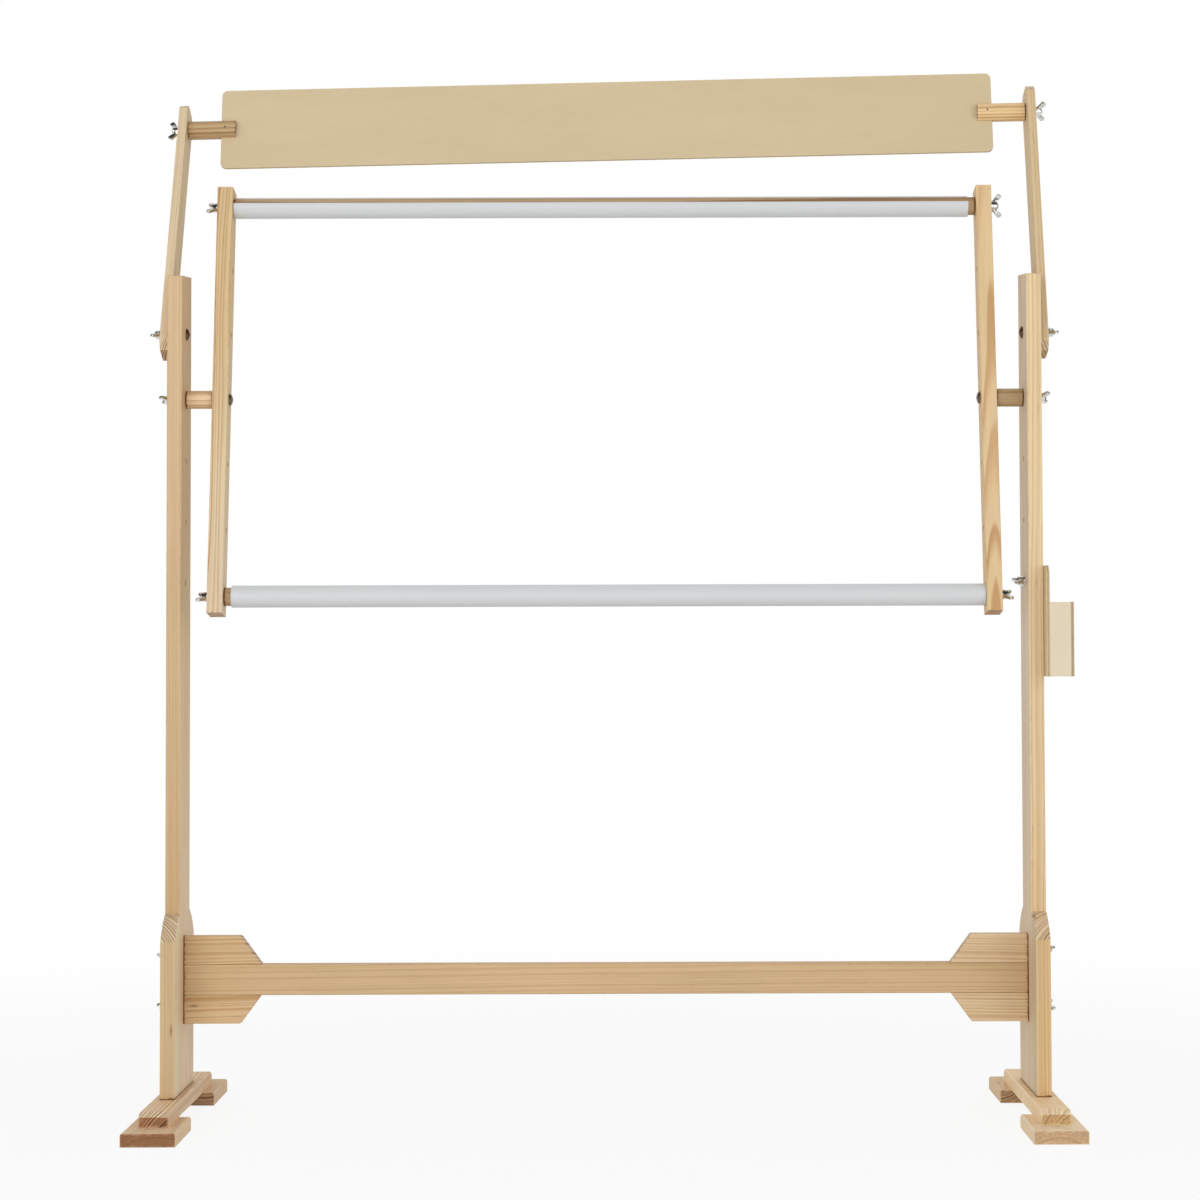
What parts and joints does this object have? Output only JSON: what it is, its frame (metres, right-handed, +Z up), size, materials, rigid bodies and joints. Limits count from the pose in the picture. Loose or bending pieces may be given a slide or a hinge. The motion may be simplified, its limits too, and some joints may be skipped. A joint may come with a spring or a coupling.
{
  "type": "embroidery floor stand",
  "caption": "Wooden floor stand for embroidery with a tilting roller frame between two uprights, a pattern board on two arms above it and a small tool box.",
  "frame": {"origin": "on the floor, midway between the two feet, under the uprights", "axes": "+Z up, +X to the right of a person who faces the stand, +Y away from that person, towards the back"},
  "size_m": [1.062, 0.394, 1.2274],
  "materials": {
    "pine": "satin",
    "pale_pine": "satin",
    "red_pine": "satin",
    "plywood": "matte",
    "clip_plastic": "satin",
    "zinc": "satin"
  },
  "bodies": {
    "base": {"left_front_pad": "red_pine", "left_rear_pad": "red_pine", "right_front_pad": "red_pine", "right_rear_pad": "red_pine", "left_foot_rail": "red_pine", "right_foot_rail": "red_pine", "foot_screws": "zinc", "left_upright": "pine", "right_upright": "pine", "left_front_cheek": "pale_pine", "left_rear_cheek": "pale_pine", "right_front_cheek": "pale_pine", "right_rear_cheek": "pale_pine", "crossbar": "pine", "left_ears": "pale_pine", "right_ears": "pale_pine", "crossbar_studs": "zinc", "arm_pivot_bolts": "zinc"},
    "roller_frame": {"left_side_bar": "pine", "right_side_bar": "pine", "left_spacer": "pine", "right_spacer": "pine", "frame_pivot_bolts": "zinc"},
    "top_roller_set": {"top_roller": "pine", "top_clip": "clip_plastic", "top_roller_studs": "zinc"},
    "bottom_roller_set": {"bottom_roller": "pine", "bottom_clip": "clip_plastic", "bottom_roller_studs": "zinc"},
    "pattern_arms": {"left_arm": "pale_pine", "right_arm": "pale_pine"},
    "board_set": {"pattern_board": "plywood", "left_board_dowel": "pine", "right_board_dowel": "pine", "board_pins": "zinc", "board_studs": "zinc"},
    "tool_box": {"box_back": "plywood", "box_front_wall": "plywood", "box_rear_wall": "plywood", "box_side": "plywood", "box_floor": "plywood", "box_nails": "zinc", "box_bolt": "zinc"},
    "left_upper_crossbar_nut_body": {"left_upper_crossbar_nut": "zinc"},
    "left_lower_crossbar_nut_body": {"left_lower_crossbar_nut": "zinc"},
    "right_upper_crossbar_nut_body": {"right_upper_crossbar_nut": "zinc"},
    "right_lower_crossbar_nut_body": {"right_lower_crossbar_nut": "zinc"},
    "left_frame_nut_body": {"left_frame_nut": "zinc"},
    "right_frame_nut_body": {"right_frame_nut": "zinc"},
    "top_left_roller_nut_body": {"top_left_roller_nut": "zinc"},
    "top_right_roller_nut_body": {"top_right_roller_nut": "zinc"},
    "bottom_left_roller_nut_body": {"bottom_left_roller_nut": "zinc"},
    "bottom_right_roller_nut_body": {"bottom_right_roller_nut": "zinc"},
    "left_arm_nut_body": {"left_arm_nut": "zinc"},
    "right_arm_nut_body": {"right_arm_nut": "zinc"},
    "left_board_nut_body": {"left_board_nut": "zinc"},
    "right_board_nut_body": {"right_board_nut": "zinc"},
    "box_nut_body": {"box_nut": "zinc"}
  },
  "joints": [
    {"name": "frame_tilt", "type": "hinge", "parent": "base", "child": "roller_frame", "pos_m": [0, 0, 0.828], "axis": [1, 0, 0], "continuous": true},
    {"name": "top_roller_turn", "type": "hinge", "parent": "roller_frame", "child": "top_roller_set", "pos_m": [0, 0.03637, 1.05764], "axis": [1, 0, 0], "continuous": true},
    {"name": "bottom_roller_turn", "type": "hinge", "parent": "roller_frame", "child": "bottom_roller_set", "pos_m": [0, -0.03637, 0.59836], "axis": [1, 0, 0], "continuous": true},
    {"name": "arms_tilt", "type": "hinge", "parent": "base", "child": "pattern_arms", "pos_m": [0, 0, 0.904], "axis": [1, 0, 0], "range_deg": [-30, 50]},
    {"name": "board_tilt", "type": "hinge", "parent": "pattern_arms", "child": "board_set", "pos_m": [0, 0.10416, 1.17184], "axis": [0.9993, -0.0349, 0.0136], "range_deg": [-35, 35]},
    {"name": "box_swivel", "type": "hinge", "parent": "base", "child": "tool_box", "pos_m": [0.503, 0, 0.615], "axis": [1, 0, 0], "range_deg": [-90, 90]},
    {"name": "left_upper_crossbar_nut_turn", "type": "hinge", "parent": "base", "child": "left_upper_crossbar_nut_body", "pos_m": [-0.5073, 0, 0.19], "axis": [1, 0, 0], "continuous": true},
    {"name": "left_lower_crossbar_nut_turn", "type": "hinge", "parent": "base", "child": "left_lower_crossbar_nut_body", "pos_m": [-0.5073, 0, 0.127], "axis": [1, 0, 0], "continuous": true},
    {"name": "left_frame_nut_turn", "type": "hinge", "parent": "roller_frame", "child": "left_frame_nut_body", "pos_m": [-0.5073, 0, 0.828], "axis": [1, 0, 0], "continuous": true},
    {"name": "top_left_roller_nut_turn", "type": "hinge", "parent": "top_roller_set", "child": "top_left_roller_nut_body", "pos_m": [-0.4583, 0.03637, 1.05764], "axis": [1, 0, 0], "continuous": true},
    {"name": "bottom_left_roller_nut_turn", "type": "hinge", "parent": "bottom_roller_set", "child": "bottom_left_roller_nut_body", "pos_m": [-0.4583, -0.03637, 0.59836], "axis": [1, 0, 0], "continuous": true},
    {"name": "left_arm_nut_turn", "type": "hinge", "parent": "base", "child": "left_arm_nut_body", "pos_m": [-0.5176, 0, 0.904], "axis": [1, 0, 0], "continuous": true},
    {"name": "left_board_nut_turn", "type": "hinge", "parent": "board_set", "child": "left_board_nut_body", "pos_m": [-0.51809, 0.12223, 1.16482], "axis": [0.9993, -0.0349, 0.0136], "continuous": true},
    {"name": "right_upper_crossbar_nut_turn", "type": "hinge", "parent": "base", "child": "right_upper_crossbar_nut_body", "pos_m": [0.5073, 0, 0.19], "axis": [1, 0, 0], "continuous": true},
    {"name": "right_lower_crossbar_nut_turn", "type": "hinge", "parent": "base", "child": "right_lower_crossbar_nut_body", "pos_m": [0.5073, 0, 0.127], "axis": [1, 0, 0], "continuous": true},
    {"name": "right_frame_nut_turn", "type": "hinge", "parent": "roller_frame", "child": "right_frame_nut_body", "pos_m": [0.5073, 0, 0.828], "axis": [1, 0, 0], "continuous": true},
    {"name": "top_right_roller_nut_turn", "type": "hinge", "parent": "top_roller_set", "child": "top_right_roller_nut_body", "pos_m": [0.4583, 0.03637, 1.05764], "axis": [1, 0, 0], "continuous": true},
    {"name": "bottom_right_roller_nut_turn", "type": "hinge", "parent": "bottom_roller_set", "child": "bottom_right_roller_nut_body", "pos_m": [0.4583, -0.03637, 0.59836], "axis": [1, 0, 0], "continuous": true},
    {"name": "right_arm_nut_turn", "type": "hinge", "parent": "base", "child": "right_arm_nut_body", "pos_m": [0.5176, 0, 0.904], "axis": [1, 0, 0], "continuous": true},
    {"name": "right_board_nut_turn", "type": "hinge", "parent": "board_set", "child": "right_board_nut_body", "pos_m": [0.51809, 0.08609, 1.17887], "axis": [0.9993, -0.0349, 0.0136], "continuous": true},
    {"name": "box_nut_turn", "type": "hinge", "parent": "tool_box", "child": "box_nut_body", "pos_m": [0.4817, 0, 0.615], "axis": [1, 0, 0], "continuous": true}
  ]
}
